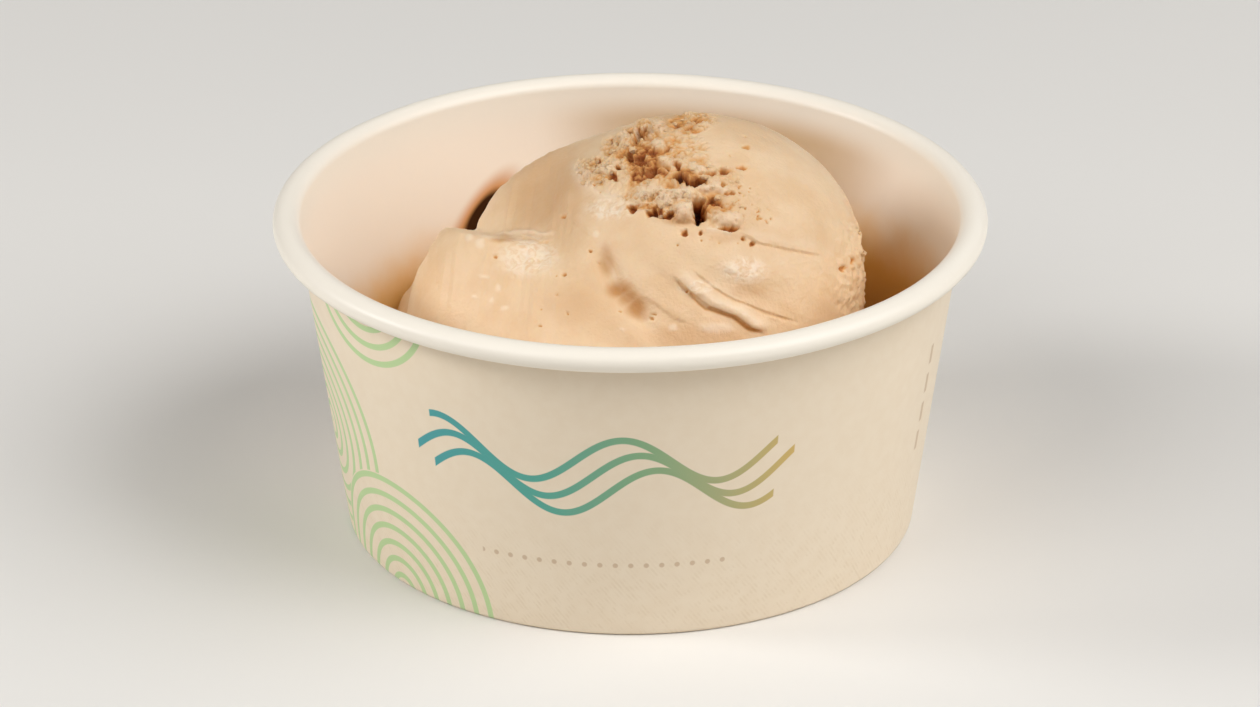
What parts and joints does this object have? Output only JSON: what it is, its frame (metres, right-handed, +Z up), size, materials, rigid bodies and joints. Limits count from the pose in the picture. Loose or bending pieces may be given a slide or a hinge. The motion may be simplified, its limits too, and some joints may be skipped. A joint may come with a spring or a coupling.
{
  "type": "gelato cup",
  "caption": "Short round paper cup with a rolled rim, holding a spatula-worked mound of pale coffee-coloured gelato with folds and a torn, crumbly top.",
  "frame": {"origin": "centre of the foot ring, on the surface that the cup stands on", "axes": "+Z up along the cup's axis, -Y towards the person served, where the worked face of the gelato looks, +X to that person's right"},
  "size_m": [0.095, 0.095, 0.0548],
  "materials": {
    "printed_paper": "satin",
    "base_paper": "satin",
    "gelato": "satin"
  },
  "bodies": {
    "root": {"cup_wall": "printed_paper", "cup_base": "base_paper", "gelato": "gelato"}
  },
  "joints": []
}
